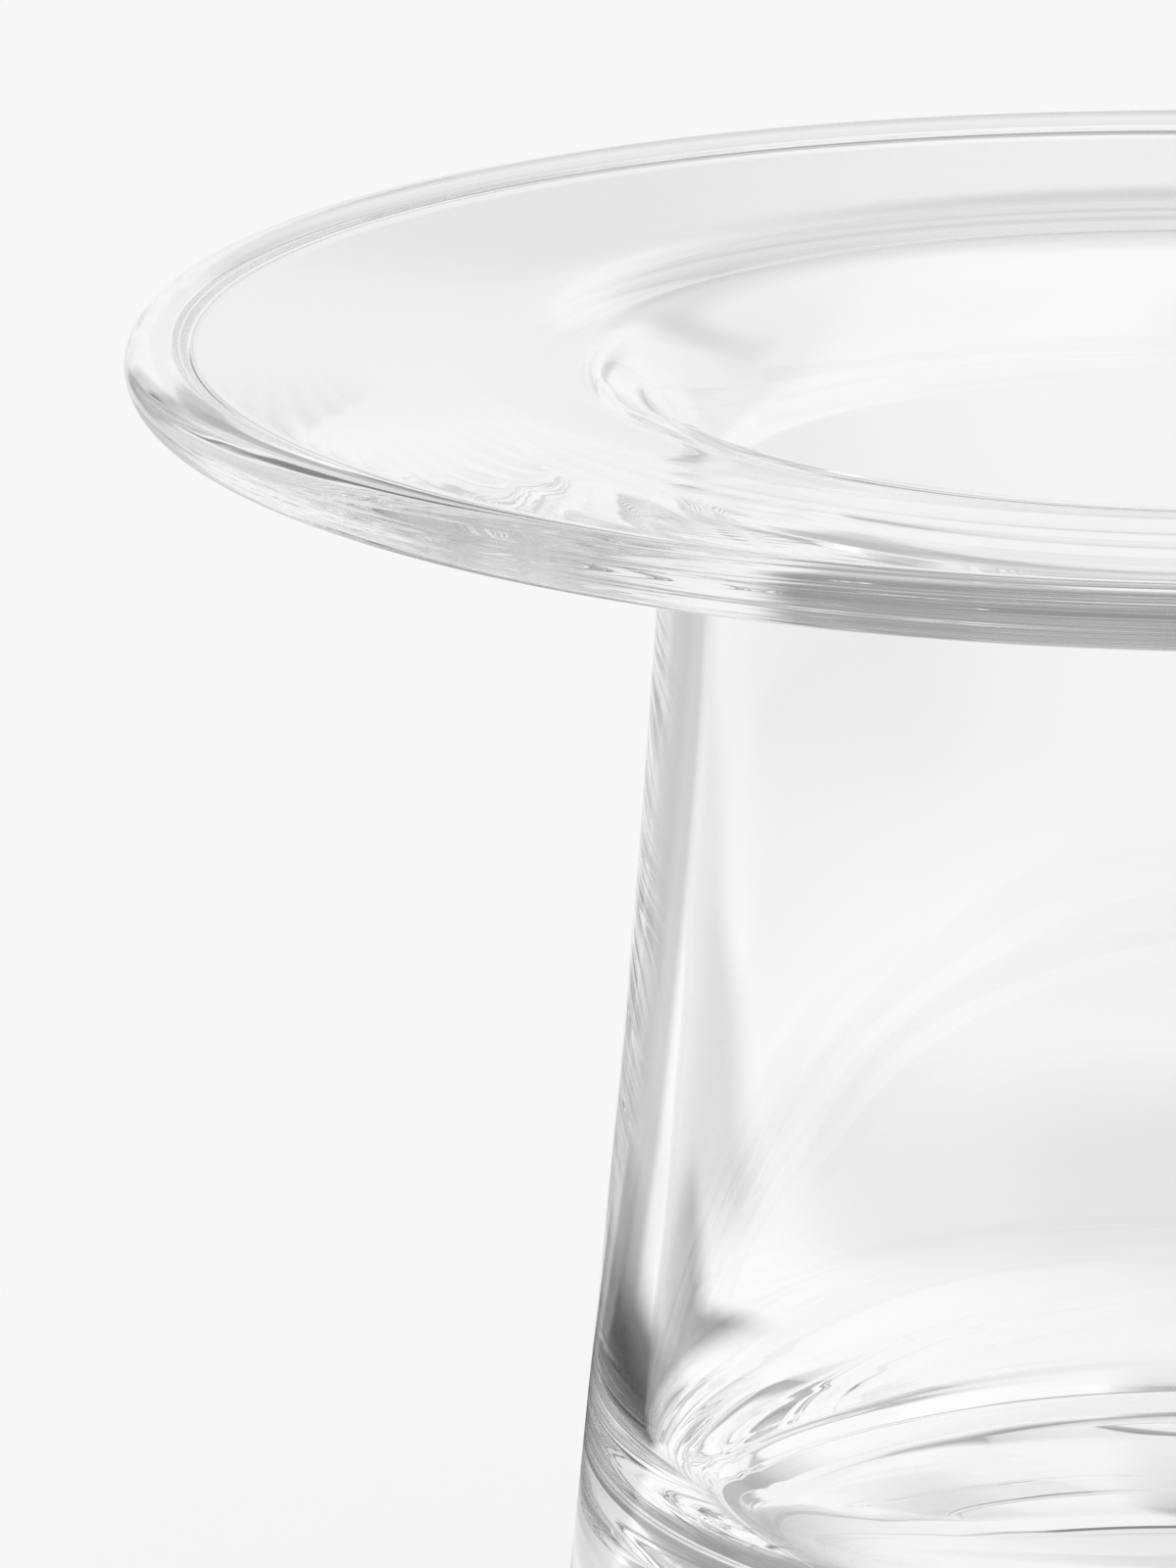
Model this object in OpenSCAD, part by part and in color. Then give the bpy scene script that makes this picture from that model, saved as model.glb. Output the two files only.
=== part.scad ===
// Flared glass vase: a solid base, a wall that narrows upwards, a wide flat brim
// turned out over the top, and a rounded lip round the brim.
// The table face lies at height zero, and everything turns about +Z.

/* [Overall] */
// Height from the table to the crest of the lip
vase_h = 166; // [130:1:220]
// Outer radius of the brim, over the lip
brim_r = 125; // [105:1:160]

/* [Base] */
// Thickness of the solid glass under the middle of the inner floor
floor_t = 16; // [8:0.5:26]
// Radius of the shallow bowl that the inner floor forms
floor_hollow = 250; // [180:5:600]
// Outer radius the wall would have at the table, before its edge is rounded
foot_r = 76.6; // [71:0.1:90]
// Radius of the rounded edge at the table
foot_round = 4.5; // [1:0.25:7]
// Radius of the inner corner, where the floor turns up into the wall
corner_round = 20; // [8:0.5:24]

/* [Wall] */
// Inner radius at the throat, the narrowest place
throat_r = 59; // [50:0.5:61]
// Thickness of the wall at the throat
throat_t = 5.4; // [3.5:0.1:7]
// Height where the wall starts to open faster towards the foot
bend_h = 97.5; // [70:0.5:110]
// Outer radius of the wall at that height
bend_r = 67.6; // [66:0.1:72]
// Thickness of the wall at that height
bend_t = 5.5; // [3.5:0.1:8]
// Thickness that the wall would have at the table
foot_t = 6.5; // [4:0.1:10]

/* [Brim] */
// Radius of the tight turn at the mouth, from the throat to the bowed brim
mouth_round = 14.1; // [9:0.1:18]
// Slope in degrees of the brim's top where the tight turn ends
mouth_lean = 12.7; // [6:0.1:20]
// Radius of the bow that flattens the brim's top outwards
brim_bow = 99; // [60:1:140]
// Slope in degrees of the brim's top next to the lip
brim_lean = 2; // [0.5:0.1:4]
// Depth of the brim's top under the crest of the lip
brim_drop = 0.95; // [0.5:0.05:2]
// Radius of the turn on the underside, from the outer wall to the brim
under_round = 12.9; // [8:0.1:16]
// Slope in degrees of the underside of the brim
under_lean = 4; // [0.2:0.1:6]

/* [Lip] */
// Diameter of the lip's round section
lip_d = 7.1; // [6:0.1:10]
// Radius of the hollow between the brim's top and the lip
hollow_round = 10.9; // [6:0.1:14]
// Depth to which the lip hangs below the underside of the brim
lip_sag = 2; // [0.5:0.1:3]
// Radius of the hollow between the brim's underside and the lip
sag_round = 2.5; // [1.5:0.1:4]

/* [Hidden] */
$fn = 180;

// Clear glass with a faint grey cast
glass = [0.92, 0.93, 0.93, 0.45];
// Overrun of every cut past the face it opens
cut = 1;

// The wall below the bend: how far it spreads for each unit it goes down
outer_spread = (foot_r - bend_r) / bend_h;
inner_spread = ((foot_r - foot_t) - (bend_r - bend_t)) / bend_h;
// The same leans as angles from the upright
outer_lean = atan(outer_spread);
inner_lean = atan(inner_spread);

// Outer and inner radius of the wall at height h, from the table to the bend
function outer_r(h) = foot_r - outer_spread * h;
function inner_r(h) = foot_r - foot_t - inner_spread * h;

// Foot edge: the round touches the table and the leaning outer wall
foot_touch_h = foot_round + foot_round * sin(outer_lean);
foot_c = [outer_r(foot_touch_h) - foot_round * cos(outer_lean), foot_round];

// Inner corner: the round touches the leaning inner wall and, from inside, the bowl
inner_slant = norm([1, inner_spread]);
bowl_c = [0, floor_t + floor_hollow];
corner_reach = foot_r - foot_t - corner_round * inner_slant;
corner_near = floor_hollow - corner_round;
corner_half = corner_reach * inner_spread + bowl_c.y;
corner_rest = pow(corner_reach, 2) + pow(bowl_c.y, 2) - pow(corner_near, 2);
corner_h = (corner_half - sqrt(pow(corner_half, 2) - pow(inner_slant, 2) * corner_rest))
    / pow(inner_slant, 2);
corner_c = [corner_reach - inner_spread * corner_h, corner_h];
bowl_edge = bowl_c + (corner_c - bowl_c) * floor_hollow / corner_near;
// A point under the bowl, from which its round is cut
floor_tip = [bowl_edge.x, floor_t - cut];
// The base ends and the wall begins where the corner has become straight wall
wall_h = corner_h + corner_round * sin(inner_lean);

// Point at radius r and angle a from a centre
function beside(c, r, a) = c + r * [cos(a), sin(a)];

// Lip: a round section at the very edge of the brim
lip_round = lip_d / 2;
lip_c = [brim_r - lip_round, vase_h - lip_round];

// Underside: a leaning line above the foot of the lip, and the turn under the brim
function under_h(r) = lip_c.y - lip_round + lip_sag - (lip_c.x - r) * tan(under_lean);
under_x = throat_r + throat_t + under_round - under_round * sin(under_lean);
under_start = [under_x, under_h(under_x)];
under_c = under_start - beside([0, 0], under_round, 90 + under_lean);
throat_out = [throat_r + throat_t, under_c.y];

// Lower hollow: touches the underside and the lip's round section, from below
sag_fall = (lip_round - lip_sag) * cos(under_lean) + sag_round;
sag_out = sqrt(pow(lip_round + sag_round, 2) - pow(sag_fall, 2));
sag_c = lip_c + beside([0, 0], sag_fall, under_lean - 90) - beside([0, 0], sag_out, under_lean);
sag_touch = lip_c + (sag_c - lip_c) * lip_round / (lip_round + sag_round);
under_end = beside(sag_c, sag_round, under_lean + 90);

// Hollow: touches the leaning top of the brim and the lip's round section
hollow_lift = vase_h - brim_drop + hollow_round * cos(brim_lean) - lip_c.y;
hollow_out = sqrt(pow(lip_round + hollow_round, 2) - pow(hollow_lift, 2));
hollow_c = lip_c + [-hollow_out, hollow_lift];
hollow_touch = lip_c + (hollow_c - lip_c) * lip_round / (lip_round + hollow_round);
// The brim ends and the lip begins where the hollow leaves the brim's top
groove = beside(hollow_c, hollow_round, brim_lean - 90);
groove_foot = [groove.x, under_h(groove.x)];

// Top of the brim: a straight lean, then the bow, then the tight turn at the mouth
mouth_x = throat_r + mouth_round - mouth_round * sin(mouth_lean);
bow_x = mouth_x + brim_bow * sin(mouth_lean);
bow_end_x = bow_x - brim_bow * sin(brim_lean);
bow_end = groove - (groove.x - bow_end_x) * [1, tan(brim_lean)];
bow_c = bow_end - beside([0, 0], brim_bow, 90 + brim_lean);
mouth_edge = beside(bow_c, brim_bow, 90 + mouth_lean);
turn_c = mouth_edge - beside([0, 0], mouth_round, 90 + mouth_lean);
throat_in = [throat_r, turn_c.y];
// Points above the tight turn and the bow, from which their rounds are cut
turn_tip = [throat_r - cut, mouth_edge.y + cut];
bow_tip = [mouth_edge.x, bow_end.y + cut];

// What lies outside a round, in the corner that its two end points and a tip make
module beyond(centre, radius, from, tip, to) {
    difference() {
        polygon([from, tip, to]);
        translate(centre)
            circle(r = radius);
    }
}

// Half section of the inside of the vase above its floor, with the round corner
module inside_section() {
    difference() {
        polygon([
            [0, floor_t],
            floor_tip,
            bowl_edge,
            corner_c,
            [inner_r(wall_h), wall_h],
            [inner_r(wall_h + cut), wall_h + cut],
            [0, wall_h + cut]
        ]);
        beyond(bowl_c, floor_hollow, [0, floor_t], floor_tip, bowl_edge);
    }
    translate(corner_c)
        circle(r = corner_round);
}

// Half section of the solid outside of the base, with the round foot edge
module foot_section() {
    polygon([
        [0, 0],
        [foot_c.x, 0],
        foot_c,
        [outer_r(foot_touch_h), foot_touch_h],
        [outer_r(wall_h), wall_h],
        [0, wall_h]
    ]);
    translate(foot_c)
        circle(r = foot_round);
}

// Solid glass bottom, up to where the inner corner has become straight wall
module thick_base() {
    color(glass)
        rotate_extrude()
            difference() {
                foot_section();
                inside_section();
            }
}

// Wall of the body: two straight runs on each face, meeting at the bend
module tapered_wall() {
    color(glass)
        rotate_extrude()
            polygon([
                [outer_r(wall_h), wall_h],
                [bend_r, bend_h],
                throat_out,
                throat_in,
                [bend_r - bend_t, bend_h],
                [inner_r(wall_h), wall_h]
            ]);
}

// Half section of the brim, rounded off above and hollowed out below at the turn
module brim_section() {
    difference() {
        polygon([
            throat_in,
            turn_tip,
            mouth_edge,
            bow_tip,
            bow_end,
            groove,
            groove_foot,
            under_start,
            throat_out
        ]);
        beyond(turn_c, mouth_round, throat_in, turn_tip, mouth_edge);
        beyond(bow_c, brim_bow, mouth_edge, bow_tip, bow_end);
        translate(under_c)
            circle(r = under_round);
    }
}

// Brim turned out from the throat, bowed at the mouth and almost level at the lip
module flared_brim() {
    color(glass)
        rotate_extrude()
            brim_section();
}

// Round lip, swept up out of the brim by one hollow and down by another
module rounded_lip() {
    color(glass)
        rotate_extrude()
            difference() {
                union() {
                    polygon([
                        groove_foot,
                        under_end,
                        sag_touch,
                        lip_c,
                        hollow_touch,
                        [groove.x, hollow_touch.y]
                    ]);
                    translate(lip_c)
                        circle(r = lip_round);
                }
                translate(hollow_c)
                    circle(r = hollow_round);
                translate(sag_c)
                    circle(r = sag_round);
            }
}

thick_base();
tapered_wall();
flared_brim();
rounded_lip();
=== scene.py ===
"""Flared glass vase, blown and turned out by hand, on a pale studio table.

The glass is one outline turned about +Z. The outline runs from the middle of the
underside, up the outside, round the lip and down the inside to the middle of the
floor. Each piece takes its own stretch of that outline, so all four keep one skin.
"""

import math

import bpy
import numpy as np
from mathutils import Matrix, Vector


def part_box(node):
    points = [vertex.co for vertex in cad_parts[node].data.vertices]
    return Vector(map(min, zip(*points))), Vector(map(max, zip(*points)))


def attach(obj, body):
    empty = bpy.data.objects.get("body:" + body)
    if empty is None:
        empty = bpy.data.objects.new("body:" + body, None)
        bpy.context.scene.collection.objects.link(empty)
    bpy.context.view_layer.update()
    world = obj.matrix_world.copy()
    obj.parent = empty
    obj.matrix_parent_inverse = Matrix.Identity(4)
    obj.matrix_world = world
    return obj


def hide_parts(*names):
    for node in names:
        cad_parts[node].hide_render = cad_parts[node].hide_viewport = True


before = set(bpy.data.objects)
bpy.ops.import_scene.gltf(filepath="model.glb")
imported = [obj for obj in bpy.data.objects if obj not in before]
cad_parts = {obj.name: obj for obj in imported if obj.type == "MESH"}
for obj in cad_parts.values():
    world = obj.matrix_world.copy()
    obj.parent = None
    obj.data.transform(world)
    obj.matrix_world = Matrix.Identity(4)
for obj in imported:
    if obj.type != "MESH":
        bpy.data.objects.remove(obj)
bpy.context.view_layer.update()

bl_info = {
    "name": "Flared Glass Vase",
    "version": (1, 0, 0),
    "blender": (4, 5, 0),
    "location": "View3D > Sidebar > Vase",
    "description": "Blown glass vase with a wide turned-out brim, and its studio",
    "category": "Object",
}

MM = 0.001
LIP_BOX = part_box("rounded_lip")


def size(name, description, millimetres):
    """A length property in metres, written here in millimetres."""
    return bpy.props.FloatProperty(
        name=name,
        description=description,
        default=millimetres * MM,
        min=0.0,
        unit="LENGTH",
        subtype="DISTANCE",
        precision=5,
    )


def number(name, description, default):
    """A plain number property: a slope, a share, a level, or an angle in degrees."""
    return bpy.props.FloatProperty(
        name=name, description=description, default=default, min=0.0, precision=4
    )


def linear(hex_colour):
    """An sRGB hex colour as linear RGBA, the way the shaders take it."""
    srgb = np.array([int(hex_colour[i : i + 2], 16) for i in (1, 3, 5)]) / 255
    rgb = np.where(srgb <= 0.04045, srgb / 12.92, ((srgb + 0.055) / 1.055) ** 2.4)
    return (*rgb.tolist(), 1.0)


def colour(name, description, hex_colour):
    """A colour property, written here as an sRGB hex colour."""
    return bpy.props.FloatVectorProperty(
        name=name,
        description=description,
        subtype="COLOR",
        size=4,
        min=0.0,
        max=1.0,
        default=linear(hex_colour),
    )


class VASE_PG_glass(bpy.types.PropertyGroup):
    """Sizes of the glass body and the traces of the hand in it."""

    height: size("Height", "Table to the crest of the lip", LIP_BOX[1].z / MM)
    brim_radius: size("Brim radius", "Over the lip", LIP_BOX[1].x / MM)
    floor_thick: size("Floor", "Glass under the middle of the inner floor", 16.0)
    floor_hollow: size("Floor hollow", "Radius of the floor's shallow bowl", 250.0)
    foot_radius: size("Foot radius", "Outer wall carried on to the table", 76.6)
    foot_round: size("Foot edge", "Radius of the edge at the table", 4.5)
    foot_wall: size("Foot wall", "Wall thickness carried on to the table", 6.5)
    corner_round: size("Inner corner", "Radius where floor meets wall", 20.0)
    throat_radius: size("Throat radius", "Narrowest place inside", 59.0)
    throat_wall: size("Throat wall", "Wall thickness at the throat", 5.4)
    mouth_round: size("Mouth round", "Radius of the tight turn at the mouth", 14.1)
    mouth_lean: number("Mouth lean", "Degrees of slope where that turn ends", 12.7)
    brim_bow: size("Brim bow", "Radius of the brim's bowed top", 99.0)
    brim_lean: number("Brim lean", "Degrees of slope of the top next to the lip", 2.0)
    brim_drop: size("Brim drop", "Brim's top under the lip's crest", 0.95)
    under_round: size("Under round", "Radius of the turn under the brim", 12.9)
    under_lean: number("Under lean", "Degrees of slope of the underside", 4.0)
    lip_thick: size("Lip", "Diameter of the lip's round section", 7.1)
    hollow_round: size("Hollow", "Radius of the hollow inside the lip", 10.9)
    lip_sag: size("Lip sag", "Depth of the lip below the brim's underside", 2.0)
    sag_round: size("Sag round", "Radius of the hollow under the lip", 2.5)
    foot_spread: number("Foot spread", "Slope of the outer wall at the foot", 0.098)
    throat_spread: number("Throat spread", "Slope of the wall at the throat", 0.052)
    lip_streaks: size("Lip streaks", "Depth of the fine rings round the lip", 0.004)
    brim_rings: size("Brim rings", "Depth of the faint rings on the brim", 0.0016)
    cord_height: size("Cords", "Height of the threads round the lower wall", 0.022)
    cord_width: size("Cord width", "Half width of those threads", 0.55)
    wall_waves: size("Wall waves", "Depth of the soft waves in the wall", 0.03)


# Half the table's side, and how far it lies under the glass, in metres
TABLE_HALF = 6.0
TABLE_UNDER = 0.1 * MM
# The longer side of the camera's picture, in millimetres
SENSOR_WIDTH = 36.0
# Light runs round inside the lip and the brim many times before it leaves
BOUNCES = 256

# What the glass sees round it, as linear brightness where 1 is white. On the table
# that is painted light and painted shade, which the camera doesn't see; in the air it
# is the studio's light. A patch has a name, its azimuth (0 right, 90 behind, 180 left,
# 270 the camera's side), half width and softness in degrees, the start and end of its
# range and their fade, and a level. A later patch lies over the ones before it.
TABLE_GROUND = 0.94
PAINTED_TABLE_LIGHT_AND_SHADE = (
    # The range is in metres from the vase's axis
    # Painted shade on the paper in front of the vase, to its right and at its foot
    ("painted shade in front", 275, 60, 28, 0.29, 9.0, 0.12, 0.60),
    ("painted shade right of the vase", 5, 40, 25, 0.18, 0.32, 0.04, 0.50),
    ("shade at the foot", 215, 60, 22, 0.07, 0.085, 0.03, 0.30),
    # A painted pool of light on the left and its brighter heart, from no lamp in the
    # scene
    ("painted pool of light, left", 187, 32, 30, 0.24, 1.0, 0.05, 1.05),
    ("heart of the pool", 187, 22, 14, 0.17, 0.35, 0.05, 1.30),
    # Painted shade at the edge of the pool, and a painted shadow of a card that isn't
    # there
    ("painted shade at the pool's edge", 127, 10, 5, 0.24, 0.65, 0.05, 0.57),
    ("painted shadow of a card", 143, 18, 4, 0.14, 0.23, 0.04, 0.07),
    # Painted shade far off behind on the left, and behind the vase
    ("painted shade far behind left", 125, 6, 5, 1.2, 9.0, 0.4, 0.12),
    ("soft shade behind", 107, 7, 7, 0.50, 0.85, 0.20, 0.84),
    ("shade close behind", 96, 10, 10, 0.16, 0.22, 0.06, 0.80),
)
AIR_GROUND = 0.40
AIR_PATCHES = (
    # The range is in degrees above the table
    ("backdrop", 97, 42, 12, -9, 17, 5, 0.91),
    ("dark above the backdrop", 85, 45, 12, 25, 45, 5, 0.20),
    ("open right", 50, 13, 4, -9, 15, 6, 0.95),
    ("dark gap by the backdrop", 124, 7, 5, -9, 16, 6, 0.05),
    ("camera side, left", 216, 44, 17, -9, 64, 9, 0.22),
    ("soft box, front right", 330, 34, 18, 18, 82, 6, 1.05),
    ("soft box, right", 8, 22, 8, 16, 30, 4, 1.00),
    ("soft box, right and high", 22, 44, 19, 32, 82, 8, 0.90),
    ("ceiling", 60, 110, 40, 68, 99, 12, 1.05),
    ("camera side, low", 292, 18, 14, -9, 12, 8, 0.30),
)


class VASE_PG_studio(bpy.types.PropertyGroup):
    """The table, the light and the camera."""

    paper: colour("Paper", "Colour of the pale table", "#F6F6F6")
    evenness: number("Evenness", "Share of the table that no shadow reaches", 0.85)
    even_level: number("Even level", "Brightness of that share, 1 is white", 1.0)
    lens: number("Lens", "Focal length in millimetres on a 36 mm side", 255.4)
    camera_back: size("Camera back", "Camera to the vase's axis, level", 1226.6)
    camera_high: size("Camera height", "Camera above the table", 439.6)
    tilt_down: number("Tilt", "Degrees the camera looks down", 14.957)
    turn_left: number("Turn", "Degrees the camera turns left of the axis", 3.402)


def arc(centre, radius, start, end, count):
    """Points centre + radius (cos a, sin a), with a from start to end in degrees."""
    a = np.radians(np.linspace(start, end, count))
    ray = np.stack([np.cos(a), np.sin(a)], 1)
    return np.asarray(centre) + radius * ray


def line(start, end, count):
    """Evenly spaced points from start to end."""
    t = np.linspace(0.0, 1.0, count)[:, None]
    return np.asarray(start) * (1 - t) + np.asarray(end) * t


def leaning_run(low, low_slope, high, high_slope, heights):
    """A cubic radius over height: it has the given radius and slope at both ends.

    A slope is how far the wall spreads for each unit it goes down.
    """
    span = high[1] - low[1]
    t = (heights - low[1]) / span
    radius = (
        (2 * t**3 - 3 * t**2 + 1) * low[0]
        - (t**3 - 2 * t**2 + t) * span * low_slope
        + (-2 * t**3 + 3 * t**2) * high[0]
        - (t**3 - t**2) * span * high_slope
    )
    return np.stack([radius, heights], 1)


def turning_angle(start, end):
    """The direction from start to end, in degrees."""
    return math.degrees(math.atan2(end[1] - start[1], end[0] - start[0]))


def beside(centre, radius, degrees):
    """The point at a distance and an angle from a centre."""
    a = math.radians(degrees)
    return centre + radius * np.array([math.cos(a), math.sin(a)])


def inner_corner(g):
    """Centre of the corner's round, and the angle where it meets the floor's bowl.

    The round touches the leaning wall, and lies inside the bowl and touches that too.
    Its centre is one radius in from the wall, and the bowl's radius less its own from
    the bowl's centre.
    """
    slant = math.hypot(1.0, g.foot_spread)
    reach = g.foot_radius - g.foot_wall - g.corner_round * slant
    bowl_h = g.floor_thick + g.floor_hollow
    half = reach * g.foot_spread + bowl_h
    rest = reach**2 + bowl_h**2 - (g.floor_hollow - g.corner_round) ** 2
    corner_h = (half - math.sqrt(half**2 - slant**2 * rest)) / slant**2
    corner = np.array([reach - g.foot_spread * corner_h, corner_h])
    return corner, math.degrees(math.atan2(corner[0], bowl_h - corner_h)) - 90


def glass_outline(g):
    """The half section as stretches of (radius, height), named by the piece they skin.

    Arcs are tangent to the straight and leaning runs that they join. The number that
    ends each stretch is its count of points.
    """
    lip_round = g.lip_thick / 2
    lip = np.array([g.brim_radius - lip_round, g.height - lip_round])
    foot_lean = math.degrees(math.atan(g.foot_spread))
    throat_lean = math.degrees(math.atan(g.throat_spread))

    # Foot: the outer wall's own line gives the height where the edge leaves it
    foot_touch = g.foot_round * (1 + math.sin(math.radians(foot_lean)))
    foot_wall_r = g.foot_radius - g.foot_spread * foot_touch
    foot = np.array([foot_wall_r, foot_touch]) - beside(0.0, g.foot_round, foot_lean)
    outer_low = beside(foot, g.foot_round, foot_lean)
    corner, bowl_edge = inner_corner(g)
    bowl = (0.0, g.floor_thick + g.floor_hollow)
    inner_low = beside(corner, g.corner_round, foot_lean)

    # Underside of the brim: a line above the foot of the lip, a hollow and a turn
    under = math.radians(g.under_lean)
    under_x = g.throat_radius + g.throat_wall + g.under_round
    under_x -= g.under_round * math.sin(under)
    under_h = lip[1] - lip_round + g.lip_sag - (lip[0] - under_x) * math.tan(under)
    under_from = np.array([under_x, under_h])
    under_turn = under_from - beside(0.0, g.under_round, 90 + g.under_lean)
    outer_high = beside(under_turn, g.under_round, 180 + throat_lean)
    fall = (lip_round - g.lip_sag) * math.cos(under) + g.sag_round
    out = math.sqrt((lip_round + g.sag_round) ** 2 - fall**2)
    sag = lip + beside(0.0, fall, g.under_lean - 90) - beside(0.0, out, g.under_lean)
    under_to = beside(sag, g.sag_round, 90 + g.under_lean)
    crest_start = turning_angle(lip, sag)

    # Hollow: touches the leaning top of the brim and the lip's round section
    lean = math.radians(g.brim_lean)
    lift = g.height - g.brim_drop + g.hollow_round * math.cos(lean) - lip[1]
    out = math.sqrt((lip_round + g.hollow_round) ** 2 - lift**2)
    hollow = lip + np.array([-out, lift])
    groove = beside(hollow, g.hollow_round, g.brim_lean - 90)
    crest_end = turning_angle(lip, hollow)

    # Top of the brim: a straight lean, then the bow, then the tight turn at the mouth
    mouth_x = g.throat_radius + g.mouth_round
    mouth_x -= g.mouth_round * math.sin(math.radians(g.mouth_lean))
    bow_x = mouth_x + g.brim_bow * math.sin(math.radians(g.mouth_lean))
    bow_out_x = bow_x - g.brim_bow * math.sin(lean)
    bow_out = groove - (groove[0] - bow_out_x) * np.array([1.0, math.tan(lean)])
    bow = bow_out - beside(0.0, g.brim_bow, 90 + g.brim_lean)
    edge = beside(bow, g.brim_bow, 90 + g.mouth_lean)
    turn = edge - beside(0.0, g.mouth_round, 90 + g.mouth_lean)
    inner_high = beside(turn, g.mouth_round, 180 + throat_lean)

    # The lip's underside begins below the groove, and the base ends at the corner's top
    share = (groove[0] - under_from[0]) / (under_to[0] - under_from[0])
    under_split = under_from * (1 - share) + under_to * share
    wall_h = inner_low[1]

    def outer(low, high, count):
        heights = np.linspace(low, high, count)
        ends = outer_low, g.foot_spread, outer_high, g.throat_spread
        return leaning_run(*ends, heights)

    def inner(low, high, count):
        heights = np.linspace(low, high, count)
        ends = inner_low, g.foot_spread, inner_high, g.throat_spread
        return leaning_run(*ends, heights)

    turned = 180 + throat_lean
    return [
        ("thick_base", line((0.0, 0.0), (foot[0], 0.0), 24)),
        ("thick_base", arc(foot, g.foot_round, -90, foot_lean, 16)),
        ("thick_base", outer(outer_low[1], wall_h, 80)),
        ("tapered_wall", outer(wall_h, CORDS_END, 60)),
        ("tapered_wall", outer(CORDS_END, outer_high[1], 46)),
        ("tapered_wall", arc(under_turn, g.under_round, turned, 180, 3)),
        ("flared_brim", arc(under_turn, g.under_round, 180, 90 + g.under_lean, 26)),
        ("flared_brim", line(under_from, under_split, 30)),
        ("rounded_lip", line(under_split, under_to, 3)),
        (
            "rounded_lip",
            arc(sag, g.sag_round, 90 + g.under_lean, crest_start + 180, 12),
        ),
        ("rounded_lip", arc(lip, lip_round, crest_start, crest_end, 64)),
        (
            "rounded_lip",
            arc(hollow, g.hollow_round, crest_end - 180, g.brim_lean - 90, 20),
        ),
        ("flared_brim", line(groove, bow_out, 64)),
        ("flared_brim", arc(bow, g.brim_bow, 90 + g.brim_lean, 90 + g.mouth_lean, 16)),
        ("flared_brim", arc(turn, g.mouth_round, 90 + g.mouth_lean, 180, 30)),
        ("tapered_wall", arc(turn, g.mouth_round, 180, turned, 3)),
        ("tapered_wall", inner(inner_high[1], wall_h, 60)),
        ("thick_base", arc(corner, g.corner_round, foot_lean, bowl_edge, 24)),
        ("thick_base", arc(bowl, g.floor_hollow, bowl_edge, -90, 40)),
    ]


# Points in each ring of the skin
AROUND = 480
# Two points nearer than this are one, and so is a point this near the axis
TOUCH = 1e-7
MARKS_SEED = 7
# Height where the densely sampled part of the outer wall ends
CORDS_END = 60 * MM
# Each kind of mark: how many waves, the shortest and longest of them along the outline,
# and the most turns that a wave makes round the vase
STREAKS = (7, 0.9 * MM, 2.6 * MM, 2)
RINGS = (5, 2.2 * MM, 6.0 * MM, 1)
WAVES = (4, 24 * MM, 60 * MM, 2)
# A wave swells and fades round the vase by this share of its depth
SWELL = 0.4
# Width over which the streaks fade in outwards, from the lip's inner edge
LIP_FADE = 1.5 * MM
# Radii between which the rings on the brim fade in, and the waves in the wall fade out
BRIM_FADE = (88 * MM, 104 * MM)
WAVES_FADE = (72 * MM, 80 * MM)
# Threads on the left of the lower wall, strongest between these angles in radians. The
# power makes them end sooner to both sides. Each thread has its mean height, its rise
# and fall, and its strength.
CORDS_SIDE = (2.9, 3.6)
CORDS_NARROW = 4
CORDS = (
    (12.0 * MM, 1.2 * MM, 0.8),
    (15.5 * MM, 1.6 * MM, 1.0),
    (19.0 * MM, 1.4 * MM, 0.7),
    (23.5 * MM, 2.0 * MM, 1.0),
    (27.0 * MM, 1.8 * MM, 0.6),
    (32.5 * MM, 2.2 * MM, 0.9),
    (38.0 * MM, 2.4 * MM, 0.5),
    (44.0 * MM, 2.0 * MM, 0.4),
)


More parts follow.
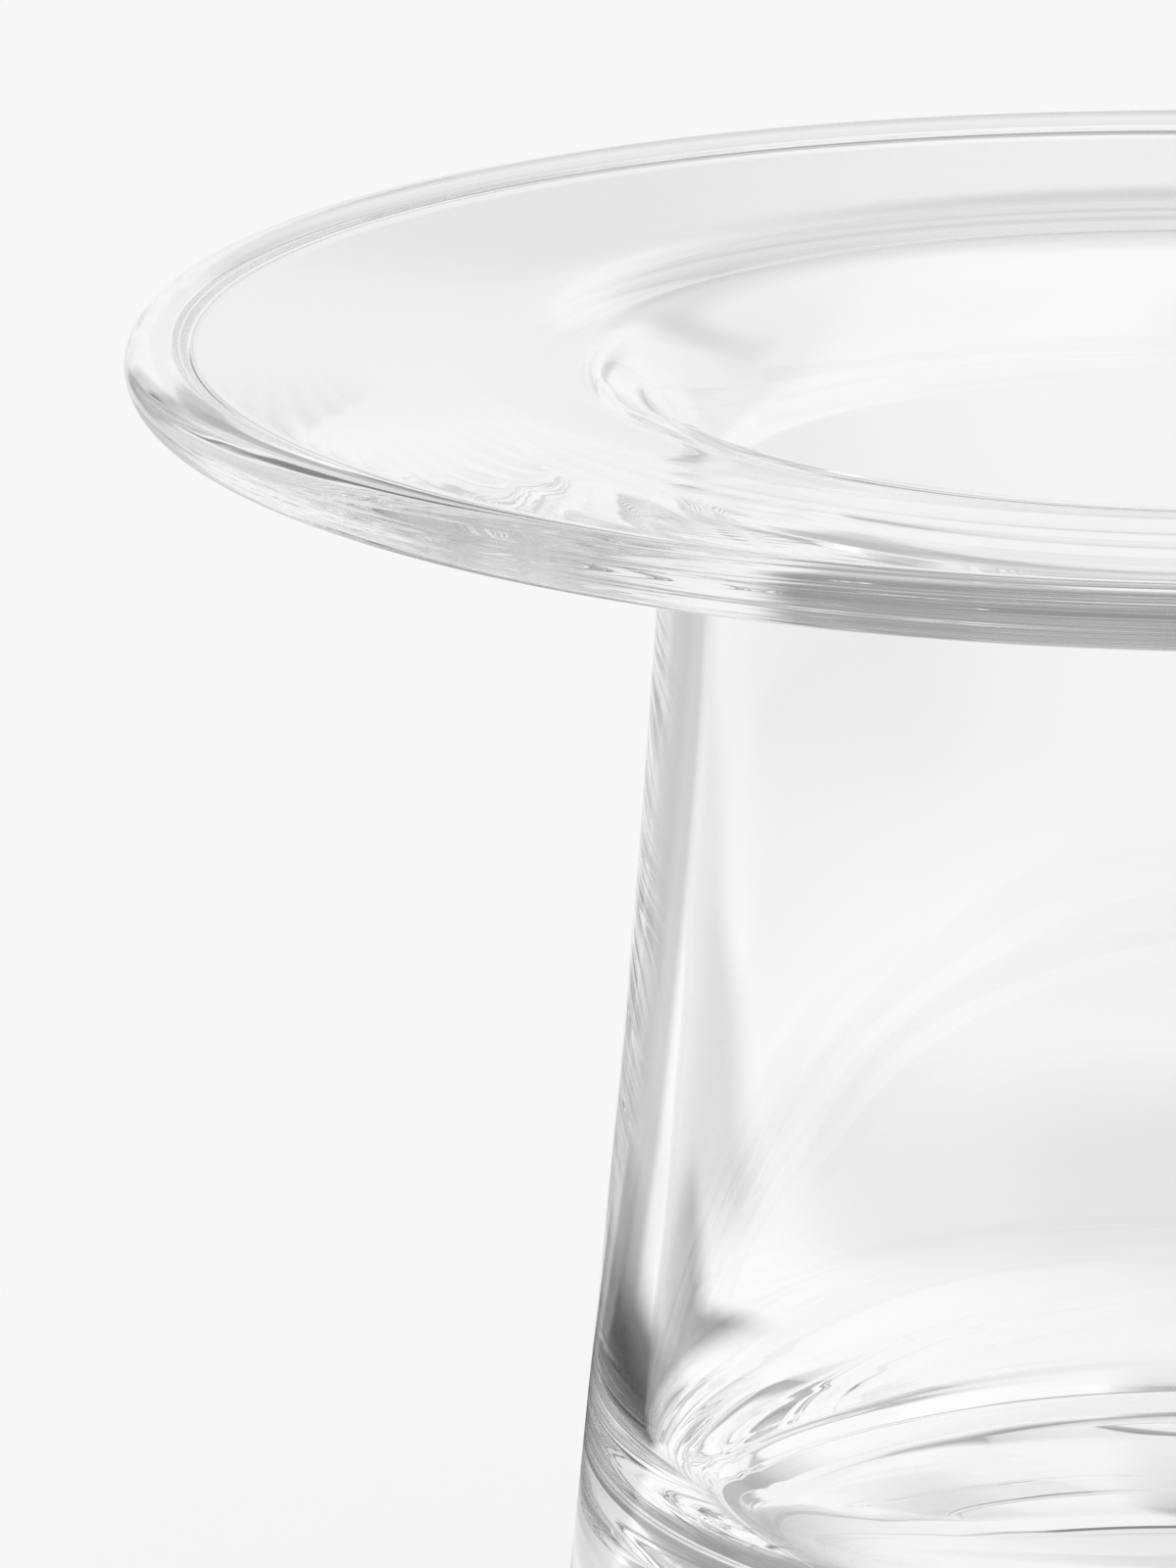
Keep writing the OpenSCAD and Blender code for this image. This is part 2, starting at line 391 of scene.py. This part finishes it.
def tool_marks(g, section, turn):
    """How far each point of the skin stands out of the smooth form, along its normal.

    Rings left by the tools are sine waves along the outline, a + b sin(2 pi s / length
    + phase + turns x angle), that drift slowly round the vase. A cord is a bell-shaped
    thread at a height that rises and falls once or twice a turn.
    """
    draw = np.random.default_rng(MARKS_SEED)
    step = np.hypot(*np.diff(section, axis=0).T)
    s = np.concatenate([[0.0], np.cumsum(step)])[:, None]
    r, h = section[:, :1], section[:, 1:]
    outside = (np.arange(len(section)) < np.argmax(section[:, 0]))[:, None]
    marks = np.zeros((len(section), len(turn)))

    def rings(count, shortest, longest, most_turns):
        """The mean of sine waves along the outline, each fading in and out round it."""
        total = np.zeros_like(marks)
        for _ in range(count):
            length = draw.uniform(shortest, longest)
            turns = draw.integers(-most_turns, most_turns + 1)
            phase, start = draw.uniform(0, 2 * np.pi, 2)
            swell = 1 - SWELL + SWELL * np.sin(draw.integers(1, 4) * turn + start)
            total += swell * np.sin(2 * np.pi * s / length + phase + turns * turn)
        return total / math.sqrt(count)

    def fade(value, zero_at, one_at):
        """A smooth S from 0 to 1."""
        t = np.clip((value - zero_at) / (one_at - zero_at), 0, 1)
        return t * t * (3 - 2 * t)

    edge = g.brim_radius - g.lip_thick
    at_lip = fade(r, edge, edge + LIP_FADE)
    marks += g.lip_streaks * at_lip * rings(*STREAKS)
    on_brim = fade(r, *BRIM_FADE) * (1 - at_lip)
    marks += g.brim_rings * on_brim * rings(*RINGS)
    in_wall = fade(h, g.foot_round, g.floor_thick) * (1 - fade(r, *WAVES_FADE))
    marks += g.wall_waves * in_wall * rings(*WAVES)
    for low, tilt, strength in CORDS:
        start = draw.uniform(0, 2 * np.pi)
        sway = tilt * np.sin(turn + start) + tilt / 2 * np.sin(2 * turn - start)
        away = (h - low - sway) / g.cord_width
        swell = 0.5 + 0.5 * np.cos(turn - draw.uniform(*CORDS_SIDE))
        swell = swell**CORDS_NARROW
        marks += g.cord_height * strength * swell * np.exp(-(away**2)) * outside
    on_table = fade(h, 0.0, g.foot_round)
    return marks * np.where(outside, on_table, 1.0)


def glass_skin(g):
    """The whole skin as rings of points and normals, and the rings of each piece.

    A ring is its outline point turned about +Z. A normal is the cross product of
    the steps round the ring and along the outline, each taken to both neighbours.
    """
    points, owner = [], []
    for name, stretch in glass_outline(g):
        if owner and np.allclose(points[-1], stretch[0], atol=TOUCH):
            stretch = stretch[1:]
            if owner[-1][0] != name:
                owner[-1] = (*owner[-1], name)
        points.extend(stretch)
        owner.extend([(name,)] * len(stretch))
    section = np.array(points)
    turn = np.linspace(0, 2 * np.pi, AROUND, endpoint=False)
    way = np.diff(section, axis=0)
    way = np.concatenate([way[:1], way[:-1] + way[1:], way[-1:]])
    way /= np.hypot(way[:, 0], way[:, 1])[:, None]
    marks = tool_marks(g, section, turn)
    radius = section[:, :1] + marks * way[:, 1:]
    height = section[:, 1:] - marks * way[:, :1]
    on_axis = section[:, 0] < TOUCH
    radius[on_axis] = 0.0
    height[on_axis] = section[on_axis, 1:]
    skin = np.stack([radius * np.cos(turn), radius * np.sin(turn), height], 2)

    # Steps along the outline, weighted so that uneven spacing doesn't tilt them
    step = np.diff(skin, axis=0)
    length = np.linalg.norm(step, axis=2)[:, :, None]
    step /= length
    along = np.empty_like(skin)
    along[1:-1] = step[:-1] * length[1:] + step[1:] * length[:-1]
    along[0], along[-1] = step[0], step[-1]
    around = np.roll(skin, -1, 1) - np.roll(skin, 1, 1)
    normal = np.cross(around, along)
    normal[on_axis] = 0.0
    normal[on_axis, :, 2] = np.sign(height[on_axis] - g.floor_thick / 2)
    normal /= np.linalg.norm(normal, axis=2)[:, :, None]
    return skin, normal, owner


def stretches_of(name, owner):
    """The first and last ring of each unbroken stretch that skins this piece."""
    held = np.array([name in o for o in owner])
    framed = np.concatenate([[0], held.astype(int), [0]])
    edges = np.flatnonzero(np.diff(framed))
    return list(zip(edges[::2], edges[1::2] - 1))


def ring_faces(first, second):
    """Quads between two rings of vertex numbers, with their faces to the outside."""
    after_first, after_second = np.roll(first, -1), np.roll(second, -1)
    return np.stack([first, after_first, after_second, second], 1)


def glass_piece(g, name):
    """One piece: its stretches of the skin, closed by flat rings to the next piece.

    Gives the points, the quads, a normal for each corner, and 1 for each quad that
    meets another piece.
    """
    skin, normal, owner = glass_skin(g)
    points, quads, quad_normals, joints = [], [], [], []
    count = 0
    ends = []
    for first, last in stretches_of(name, owner):
        rings = skin[first : last + 1].reshape(-1, 3)
        number_of = count + np.arange(len(rings)).reshape(-1, AROUND)
        ring_normal = normal[first : last + 1].reshape(-1, 3)
        points.append(rings)
        bands = [ring_faces(a, b) for a, b in zip(number_of[:-1], number_of[1:])]
        faces = np.concatenate(bands)
        quads.append(faces)
        quad_normals.append(ring_normal[faces - count])
        joints.append(np.zeros(len(faces), np.int32))
        ends.append((number_of[0], number_of[-1], skin[first, 0], skin[last, 0]))
        count += len(rings)
    # Close from the end of each stretch to the start of the next, where they part
    for i, (_, last, _, tip) in enumerate(ends):
        start, _, root, _ = ends[(i + 1) % len(ends)]
        if np.hypot(*tip[:2]) < TOUCH and np.hypot(*root[:2]) < TOUCH:
            continue
        faces = ring_faces(last, start)
        made = np.concatenate(points)
        a, b, c = made[faces[:, 0]], made[faces[:, 1]], made[faces[:, 2]]
        flat = np.cross(b - a, c - a)
        flat /= np.linalg.norm(flat, axis=1)[:, None]
        quads.append(faces)
        quad_normals.append(np.repeat(flat[:, None], 4, 1))
        joints.append(np.ones(len(faces), np.int32))
    return (
        np.concatenate(points),
        np.concatenate(quads),
        np.concatenate(quad_normals),
        np.concatenate(joints),
    )


def close_poles(points, quads, corner_normals):
    """Turns each quad that ends on the axis into a triangle with one shared tip.

    Gives the points, the corners of all faces in a row with their normals, and how many
    corners each face has.
    """
    on_axis = np.hypot(points[:, 0], points[:, 1]) < TOUCH
    number_of = np.arange(len(points))
    for height in np.unique(points[on_axis, 2]):
        same = np.flatnonzero(on_axis & (points[:, 2] == height))
        number_of[same] = same[0]
    quads = number_of[quads]
    used = np.unique(quads)
    fresh = np.zeros(len(points), int)
    fresh[used] = np.arange(len(used))
    points, quads = points[used], fresh[quads]
    keep = quads != np.roll(quads, 1, axis=1)
    return points, quads[keep], corner_normals[keep], keep.sum(1)


def build_mesh(name, points, quads, corner_normals, joints):
    """The mesh of one piece; its second material is on the faces that meet the next."""
    points, corners, corner_normals, totals = close_poles(points, quads, corner_normals)
    mesh = bpy.data.meshes.new(name)
    mesh.vertices.add(len(points))
    mesh.vertices.foreach_set("co", points.astype(np.float32).ravel())
    mesh.loops.add(len(corners))
    mesh.loops.foreach_set("vertex_index", corners.astype(np.int32))
    mesh.polygons.add(len(totals))
    starts = np.concatenate([[0], np.cumsum(totals)[:-1]]).astype(np.int32)
    mesh.polygons.foreach_set("loop_start", starts)
    mesh.polygons.foreach_set("loop_total", totals.astype(np.int32))
    mesh.polygons.foreach_set("material_index", joints)
    mesh.update(calc_edges=True)
    mesh.validate()
    mesh.shade_smooth()
    mesh.normals_split_custom_set(corner_normals)
    return mesh


# How far apart nodes stand in the editor
NODE_STEP = 200
WHITE = linear("#FFFFFF")


def add(tree, kind, links, **settings):
    """Adds one node, to the right of the one before it.

    links gives an input its value, or the (node, output) that it is joined to.
    """
    node = tree.nodes.new(kind)
    node.location.x = NODE_STEP * len(tree.nodes)
    for key, value in settings.items():
        setattr(node, key, value)
    for key, value in links.items():
        if isinstance(value, tuple) and isinstance(value[0], bpy.types.Node):
            tree.links.new(value[0].outputs[value[1]], node.inputs[key])
        else:
            node.inputs[key].default_value = value
    return node


def new_material(name):
    """An empty material and its node tree."""
    material = bpy.data.materials.new(name)
    material.use_nodes = True
    material.node_tree.nodes.clear()
    return material, material.node_tree


def blown_soda_lime_glass():
    """Soda-lime glass, blown and fire-polished.

    It gives the eye a mirror-smooth, colourless body that bends what is behind it and
    mirrors more of the room towards its edges.
    """
    name = "blown_soda_lime_glass"
    if name in bpy.data.materials:
        return bpy.data.materials[name]
    material, tree = new_material(name)
    polished = {
        "Base Color": WHITE,
        "Roughness": 0.0,
        "IOR": 1.5,
        "Transmission Weight": 1.0,
    }
    glass = add(tree, "ShaderNodeBsdfPrincipled", polished)
    add(tree, "ShaderNodeOutputMaterial", {"Surface": (glass, "BSDF")})
    return material


def fused_glass_joint():
    """Blown glass fused to the next piece: light passes unchanged, nothing shows."""
    name = "fused_glass_joint"
    if name in bpy.data.materials:
        return bpy.data.materials[name]
    material, tree = new_material(name)
    clear = add(tree, "ShaderNodeBsdfTransparent", {"Color": WHITE})
    add(tree, "ShaderNodeOutputMaterial", {"Surface": (clear, "BSDF")})
    return material


def painted(tree, azimuth, reach, ground, patches):
    """A ground value with soft patches laid over it in turn.

    A patch covers the azimuths centre +- half, in degrees, and reaches low to high. It
    fades to nothing in smooth S curves, over soft degrees and over fade beyond them.
    """
    value = ground
    for _, centre, half, soft, low, high, fade, level in patches:
        # Degrees from the patch's centre, the short way round
        both = {0: azimuth, 1: centre}
        ahead = add(tree, "ShaderNodeMath", both, operation="SUBTRACT")
        half_turns = {0: (ahead, "Value"), 1: 180.0, 2: -180.0}
        aside = add(tree, "ShaderNodeMath", half_turns, operation="WRAP")
        off = add(tree, "ShaderNodeMath", {0: (aside, "Value")}, operation="ABSOLUTE")
        cover = 1.0
        for measure, none_at, full_at in (
            ((off, "Value"), half + soft, half),
            (reach, low - fade, low),
            (reach, high + fade, high),
        ):
            span = {
                "Value": measure,
                "From Min": none_at,
                "From Max": full_at,
                "To Min": 0.0,
                "To Max": cover,
            }
            ease = add(
                tree, "ShaderNodeMapRange", span, interpolation_type="SMOOTHSTEP"
            )
            cover = (ease, "Result")
        # The Mix node's first inputs are the numbers: factor, A, B
        value = (add(tree, "ShaderNodeMix", {0: cover, 2: value, 3: level}), "Result")
    return value


def azimuth_of(tree, x, y):
    """The angle round the vase of a place or a direction, in degrees from the right."""
    turn = add(tree, "ShaderNodeMath", {0: y, 1: x}, operation="ARCTAN2")
    turn = add(tree, "ShaderNodeMath", {0: (turn, "Value")}, operation="DEGREES")
    return (turn, "Value")


def table_paper(s):
    """Matt white paper, seen as an even pale ground that keeps a soft shadow.

    Every ray but the camera's, and so the glass, sees painted light and painted shade
    on
    it instead: a painted pool of light on the left, painted shade at the foot and a
    painted shadow of a black card behind on the left, where no lamp or card stands.
    """
    material, tree = new_material("matt_white_paper")
    lit = add(tree, "ShaderNodeBsdfDiffuse", {"Color": tuple(s.paper)})
    even = add(tree, "ShaderNodeEmission", {"Color": WHITE, "Strength": s.even_level})
    shares = {0: s.evenness, 1: (lit, "BSDF"), 2: (even, "Emission")}
    seen = add(tree, "ShaderNodeMixShader", shares)

    # Painted light and shade on the table by place, for every ray but the camera's
    place = (add(tree, "ShaderNodeTexCoord", {}), "Object")
    split = add(tree, "ShaderNodeSeparateXYZ", {"Vector": place})
    azimuth = azimuth_of(tree, (split, "X"), (split, "Y"))
    reach = add(tree, "ShaderNodeVectorMath", {0: place}, operation="LENGTH")
    level = painted(tree, azimuth, (reach, "Value"), TABLE_GROUND, PAINTED_TABLE_LIGHT_AND_SHADE)
    painted_table_light = add(tree, "ShaderNodeEmission", {"Color": WHITE, "Strength": level})

    # The camera sees the even paper; every other ray sees the painted light and shade
    from_camera = (add(tree, "ShaderNodeLightPath", {}), "Is Camera Ray")
    views = {0: from_camera, 1: (painted_table_light, "Emission"), 2: (seen, "Shader")}
    surface = add(tree, "ShaderNodeMixShader", views)
    add(tree, "ShaderNodeOutputMaterial", {"Surface": (surface, "Shader")})
    return material


def studio_air(scene):
    """The grey room round the table, with its backdrop, soft boxes, ceiling and gaps.

    It lights the paper, and the glass mirrors and bends it.
    """
    world = bpy.data.worlds.new("studio_air")
    scene.world = world
    world.use_nodes = True
    tree = world.node_tree
    tree.nodes.clear()
    way = (add(tree, "ShaderNodeTexCoord", {}), "Generated")
    split = add(tree, "ShaderNodeSeparateXYZ", {"Vector": way})
    azimuth = azimuth_of(tree, (split, "X"), (split, "Y"))
    rise = add(tree, "ShaderNodeMath", {0: (split, "Z")}, operation="ARCSINE")
    rise = add(tree, "ShaderNodeMath", {0: (rise, "Value")}, operation="DEGREES")
    level = painted(tree, azimuth, (rise, "Value"), AIR_GROUND, AIR_PATCHES)
    air = add(tree, "ShaderNodeBackground", {"Color": WHITE, "Strength": level})
    add(tree, "ShaderNodeOutputWorld", {"Surface": (air, "Background")})


class PieceOperator:
    """What the four operators share: one piece of glass in its node's place."""

    bl_options = {"REGISTER", "UNDO"}
    node = ""

    def execute(self, context):
        g = context.scene.vase_glass
        mesh = build_mesh(self.node, *glass_piece(g, self.node))
        mesh.materials.append(blown_soda_lime_glass())
        mesh.materials.append(fused_glass_joint())
        piece = bpy.data.objects.new(self.node + "_glass", mesh)
        context.scene.collection.objects.link(piece)
        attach(piece, "root")
        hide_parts(self.node)
        return {"FINISHED"}


class VASE_OT_thick_base(PieceOperator, bpy.types.Operator):
    """Makes the solid glass bottom"""

    bl_idname = "vase.thick_base"
    bl_label = "Thick base"
    node = "thick_base"


class VASE_OT_tapered_wall(PieceOperator, bpy.types.Operator):
    """Makes the blown wall of the body"""

    bl_idname = "vase.tapered_wall"
    bl_label = "Tapered wall"
    node = "tapered_wall"


class VASE_OT_flared_brim(PieceOperator, bpy.types.Operator):
    """Makes the brim turned out from the throat"""

    bl_idname = "vase.flared_brim"
    bl_label = "Flared brim"
    node = "flared_brim"


class VASE_OT_rounded_lip(PieceOperator, bpy.types.Operator):
    """Makes the rounded lip at the brim's edge"""

    bl_idname = "vase.rounded_lip"
    bl_label = "Rounded lip"
    node = "rounded_lip"


class VASE_OT_studio(bpy.types.Operator):
    """Sets out the table, the light and the camera"""

    bl_idname = "vase.studio"
    bl_label = "Studio"
    bl_options = {"REGISTER", "UNDO"}

    def execute(self, context):
        s = context.scene.vase_studio
        scene = context.scene
        mesh = bpy.data.meshes.new("paper_table")
        sides = [(-1, -1), (1, -1), (1, 1), (-1, 1)]
        corners = [(x * TABLE_HALF, y * TABLE_HALF, -TABLE_UNDER) for x, y in sides]
        mesh.from_pydata(corners, [], [(0, 1, 2, 3)])
        mesh.materials.append(table_paper(s))
        table = bpy.data.objects.new("paper_table", mesh)
        scene.collection.objects.link(table)

        studio_air(scene)

        lens = bpy.data.cameras.new("studio_camera")
        lens.lens = s.lens
        lens.sensor_width = SENSOR_WIDTH
        camera = bpy.data.objects.new("studio_camera", lens)
        camera.location = (0.0, -s.camera_back, s.camera_high)
        camera.rotation_euler = (
            math.radians(90 - s.tilt_down),
            0.0,
            math.radians(s.turn_left),
        )
        scene.collection.objects.link(camera)
        scene.camera = camera

        scene.view_settings.view_transform = "Standard"
        scene.cycles.max_bounces = BOUNCES
        scene.cycles.transmission_bounces = BOUNCES
        scene.cycles.glossy_bounces = BOUNCES
        scene.cycles.transparent_max_bounces = 2 * BOUNCES
        return {"FINISHED"}


class VASE_PT_panel(bpy.types.Panel):
    """Lists the vase's pieces and its studio"""

    bl_idname = "VASE_PT_panel"
    bl_label = "Flared glass vase"
    bl_space_type = "VIEW_3D"
    bl_region_type = "UI"
    bl_category = "Vase"

    def draw(self, context):
        layout = self.layout
        for operator in OPERATORS:
            layout.operator(operator.bl_idname)
        for group in (context.scene.vase_glass, context.scene.vase_studio):
            box = layout.box()
            for key in group.bl_rna.properties.keys():
                if key not in ("rna_type", "name"):
                    box.prop(group, key)


OPERATORS = (
    VASE_OT_thick_base,
    VASE_OT_tapered_wall,
    VASE_OT_flared_brim,
    VASE_OT_rounded_lip,
    VASE_OT_studio,
)
CLASSES = (VASE_PG_glass, VASE_PG_studio, *OPERATORS, VASE_PT_panel)


def register():
    for cls in CLASSES:
        bpy.utils.register_class(cls)
    bpy.types.Scene.vase_glass = bpy.props.PointerProperty(type=VASE_PG_glass)
    bpy.types.Scene.vase_studio = bpy.props.PointerProperty(type=VASE_PG_studio)


def unregister():
    del bpy.types.Scene.vase_studio
    del bpy.types.Scene.vase_glass
    for cls in reversed(CLASSES):
        bpy.utils.unregister_class(cls)


def main():
    register()
    bpy.ops.vase.thick_base()
    bpy.ops.vase.tapered_wall()
    bpy.ops.vase.flared_brim()
    bpy.ops.vase.rounded_lip()
    bpy.ops.vase.studio()


if __name__ == "__main__":
    main()
